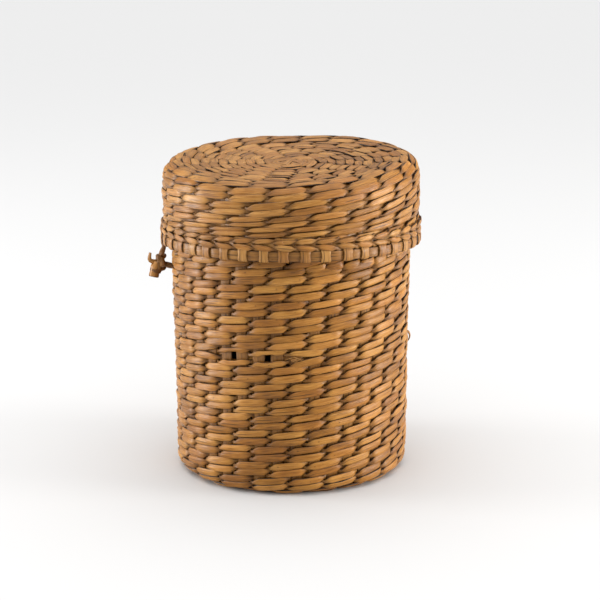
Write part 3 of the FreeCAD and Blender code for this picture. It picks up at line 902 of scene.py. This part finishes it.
def tie():
    """The tie: cord through the border, knot, strand into the wall with its stopper, and two tails."""
    knot = middle("tie_knot")
    stop = middle("tie_stopper")
    size = (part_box("tie_knot")[1][2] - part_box("tie_knot")[0][2]) / 2
    tie_loop(knot)
    twisted(knot + [1.3 * MM, 0, 0] + trefoil(-0.9) * size * 0.47, 1.6 * MM, 62, "tie_knot_cord", "tie_knot",
            facing=TO_SIDE)
    bow = (knot + stop) / 2 + np.array([0, -0.2, -0.8]) * MM
    twisted(curve_through([knot, bow, stop], 60), 1.6 * CORD, 63, "tie_strand_to_wall", "tie_wall_strand")
    twisted(stop + trefoil(0.8) * 0.42 * MM, 0.75 * MM, 64, "tie_stopper_knot", "tie_stopper", facing=TO_SIDE)
    rng = np.random.default_rng(65)
    tail_low, tail_high = low("tie_tail"), high("tie_tail")
    end = np.array([tail_low.x + 1.8 * MM, (tail_low.y + tail_high.y) / 2 - 0.5 * MM, tail_low.z + 1.0 * MM])
    thick_tail(knot, end, rng)
    whipping(knot, end)
    thin_tail(knot, rng)


def tie_loop(knot):
    """Cord that holds the lid: through the border, and down to the knot from both sides."""
    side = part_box("tie_loop")[1][1] - CORD
    pivot = np.array(PIVOT)
    leg = [knot + np.array([0.3, -0.4, 0.8]) * MM, knot + np.array([1.9, -2.6, 4.6]) * MM,
           pivot + np.array([-0.1 * MM, -side, -4.1 * MM]), pivot + np.array([0, -side, 0.1 * MM])]
    other_leg = [point * [1, -1, 1] for point in reversed(leg)]
    path = curve_through(leg + [pivot + np.array([0, 0, 0.1 * MM])] + other_leg, 150)
    in_border = smooth((side + 0.6 * MM - np.abs(path[:, 1])) / (1.5 * MM)) * (path[:, 2] > PIVOT.z - 1 * MM)
    twisted(path, 1.35 * CORD, 61, "tie_loop_cord", "tie_loop", thinner=1 - 0.42 * in_border)


def thick_tail(knot, end, rng):
    """A strand rolled up and cut off square."""
    piece = Piece()
    half_way = knot + (end - knot) * 0.5 + np.array([-0.3, 0, 0]) * MM
    path = curve_through([knot + (end - knot) * 0.05, half_way, end], 60)
    share = np.linspace(0, 1, len(path))
    fat = 4.8 * MM + 0.5 * MM * np.exp(-((share - 0.35) / 0.2) ** 2)
    fat = fat - 0.35 * MM * smooth((share - 0.93) / 0.07)
    ridges = wander(rng, share, 0.30 * MM, 1.2, columns=24) + wander(rng, share, 0.10 * MM, 0.2, columns=24)
    piece.strip(path, (-0.6, -0.75, 0.1), fat, fat, tints(0.75, 1.6 * smooth((share - 0.93) / 0.07), 0.3),
                sides=24, square=1.0, grooves=ridges)
    piece.make("tie_thick_tail", "basket", ["tie_tail"], STRAP_GRASS, "tie_cord")


def whipping(knot, end):
    """Thin band wound a few times round the thick tail."""
    piece = Piece()
    ahead = unit(end - knot)
    side_a = unit(np.cross(ahead, [0, 1, 0]))
    side_b = np.cross(ahead, side_a)
    turn = np.linspace(0, 2 * math.pi * 2.3, 120)
    spine = knot + (end - knot) * (0.52 + 0.13 * turn / turn[-1])[:, None]
    spun = side_a * np.cos(turn)[:, None] + side_b * np.sin(turn)[:, None]
    piece.strip(spine + spun * 2.5 * MM, spun, 0.95 * MM, 0.6 * MM, (0.25, 0.35, 0.2), sides=10)
    piece.make("tie_whipping_band", "basket", ["tie_whipping"], CORD_GRASS, "tie_cord")


def thin_tail(knot, rng):
    """Tail that sticks out and up."""
    piece = Piece()
    tip = np.array([low("tie_short_tail").x + 0.8 * MM, -0.9 * MM, knot[2] + 4.6 * MM])
    route = [knot, knot + np.array([-2.6, -0.8, 0.2]) * MM, knot + np.array([-4.1, -1.0, 1.4]) * MM, tip]
    path = curve_through(route, 50)
    taper = 1 - 0.45 * np.linspace(0, 1, len(path)) ** 2
    piece.strip(path, (-0.3, -1, 0.3), 2.4 * MM * taper, 1.3 * MM * taper, (0.6, 0.1, 0.5), sides=12,
                grooves=wander(rng, taper, 0.06 * MM, 0.5, columns=12))
    piece.make("tie_thin_tail", "basket", ["tie_short_tail"], STRAP_GRASS, "tie_cord")


def loose_loop():
    """Loop of slack weft at the right."""
    loop_low, loop_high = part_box("loose_loop")
    centre = np.array([loop_low[0], 0, (loop_low[2] + loop_high[2]) / 2])
    tall, deep = (loop_high[2] - loop_low[2]) / 2 - 0.4 * MM, loop_high[0] - loop_low[0] - 1.3 * MM
    route = [centre + np.array([deep * math.cos(a) - 0.8 * MM * (abs(a) > 1.5), -1.2 * MM * math.sin(a),
                                tall * math.sin(a)]) for a in np.linspace(-1.75, 1.75, 9)]
    piece = Piece()
    piece.strip(curve_through(route, 50), (1.0, -0.4, 0), 1.5 * MM, 0.7 * MM, (0.4, 0.2, 0.6), sides=12)
    piece.make("loose_weft_loop", "basket", ["loose_loop"], BODY_GRASS, "weft_body")


def frayed_fibres():
    """Fibres that stand out where the front weft has broken."""
    rng = np.random.default_rng(14)
    piece = Piece()
    for _ in range(9):
        degrees = FRONT + rng.normal(0.5, 1.6)
        s = BODY.s_at_z(WORN_Z + rng.normal(0, 0.7) * MM, FLAT)
        root, outward, along = BODY.place(degrees, s, -0.9 * MM)
        sideways = np.cross(outward, along) * rng.choice([-1, 1])
        length = rng.uniform(2.5, 5.0) * MM
        bent = root + outward * 1.0 * MM + sideways * 0.3 * length
        tip = root + outward * rng.uniform(1.2, 1.9) * MM + sideways * length
        path = curve_through([root, bent, tip + along * rng.normal(0, 0.8) * MM], 16)
        thin = 0.38 * MM * (1 - 0.6 * np.linspace(0, 1, len(path)))
        piece.strip(path, outward, thin, thin * 0.6, (0.8, 0.0, rng.uniform()), sides=6)
    piece.make("frayed_fibres", "basket", [], STRAP_GRASS, "weft_body", settle)


# ---------------------------------------------------------------- stage, light and camera

FLOOR_HALF = 30.0
FLOOR_GREY = 0.62
LEVEL_LIGHT = 0.14                     # light from round about, and how much more from overhead
OVERHEAD_LIGHT = 2.5
LEFT_WATTS = 16.0
RIGHT_WATTS = 19.5
SOFTBOX = (0.5, 0.34)
CAMERA_RISE = 13.0                     # degrees that it looks down
CAMERA_AWAY = 13.0                     # this and the next three in radii of the wall
CAMERA_SIDE = 0.078
CAMERA_AIM = 1.41
CAMERA_SPAN = 0.1953                   # width of the wall's radius in the frame
SENSOR = 36.0


def floor_material():
    material = bpy.data.materials.new("pale_floor")
    material.use_nodes = True
    shader = material.node_tree.nodes["Principled BSDF"]
    shader.inputs["Base Color"].default_value = (FLOOR_GREY, FLOOR_GREY, FLOOR_GREY, 1)
    shader.inputs["Roughness"].default_value = 0.9
    shader.inputs["Specular IOR Level"].default_value = 0.2
    return material


def soft_light(name, place, watts, colour):
    data = bpy.data.lights.new(name, "AREA")
    data.shape = "RECTANGLE"
    data.size, data.size_y = SOFTBOX
    data.energy = watts
    data.color = colour
    lamp = bpy.data.objects.new(name, data)
    lamp.location = place
    aim = Vector((0, 0, 0.5 * BODY_TOP)) - Vector(place)
    lamp.rotation_euler = aim.to_track_quat("-Z", "Y").to_euler()
    bpy.context.scene.collection.objects.link(lamp)


def studio():
    """Plain pale floor under a sky that is brightest overhead, and a low softbox at each side."""
    corners = [(-FLOOR_HALF, -FLOOR_HALF, 0), (FLOOR_HALF, -FLOOR_HALF, 0), (FLOOR_HALF, FLOOR_HALF, 0),
               (-FLOOR_HALF, FLOOR_HALF, 0)]
    floor_mesh = bpy.data.meshes.new("floor")
    floor_mesh.from_pydata(corners, [], [(0, 1, 2, 3)])
    floor_mesh.materials.append(floor_material())
    floor = bpy.data.objects.new("floor", floor_mesh)
    bpy.context.scene.collection.objects.link(floor)
    bpy.context.scene.view_settings.view_transform = "Standard"

    world = bpy.data.worlds.new("studio")
    bpy.context.scene.world = world
    world.use_nodes = True
    graph = Graph(world.node_tree)
    sky = graph.nodes["Background"]
    sky.inputs[0].default_value = (1, 1, 1, 1)
    direction = graph.add("ShaderNodeTexCoord").outputs["Generated"]
    upward = graph.maths("MAXIMUM", graph.add("ShaderNodeSeparateXYZ", direction).outputs[2], 0.0)
    overhead = graph.maths("MULTIPLY", graph.maths("POWER", upward, 2.0), OVERHEAD_LIGHT)
    graph.links.new(graph.maths("ADD", overhead, LEVEL_LIGHT), sky.inputs[1])

    soft_light("left_softbox", (-1.3, 0.05, 0.18), LEFT_WATTS, WHITE)
    soft_light("right_softbox", (1.3, -0.20, 0.18), RIGHT_WATTS, (1.0, 0.98, 0.95))


def camera():
    """Slightly above the basket, looking at it almost level; the basket stands a little left."""
    radius = reach("wall_course_07")
    rise = math.radians(CAMERA_RISE)
    aim = Vector((CAMERA_SIDE * radius, 0, CAMERA_AIM * radius))
    ahead = Vector((0, math.cos(rise), -math.sin(rise)))
    data = bpy.data.cameras.new("camera")
    data.sensor_width = SENSOR
    data.lens = SENSOR * CAMERA_SPAN * CAMERA_AWAY
    data.clip_end = 20.0
    eye = bpy.data.objects.new("camera", data)
    eye.location = aim - ahead * CAMERA_AWAY * radius
    eye.rotation_euler = ahead.to_track_quat("-Z", "Y").to_euler()
    bpy.context.scene.collection.objects.link(eye)
    bpy.context.scene.camera = eye


camera()
weave_body()
weave_stakes()
weave_rim()
weave_lid()
lid_start_knot()
weave_lid_stakes()
lock_rows()
border()
tie()
loose_loop()
frayed_fibres()
studio()
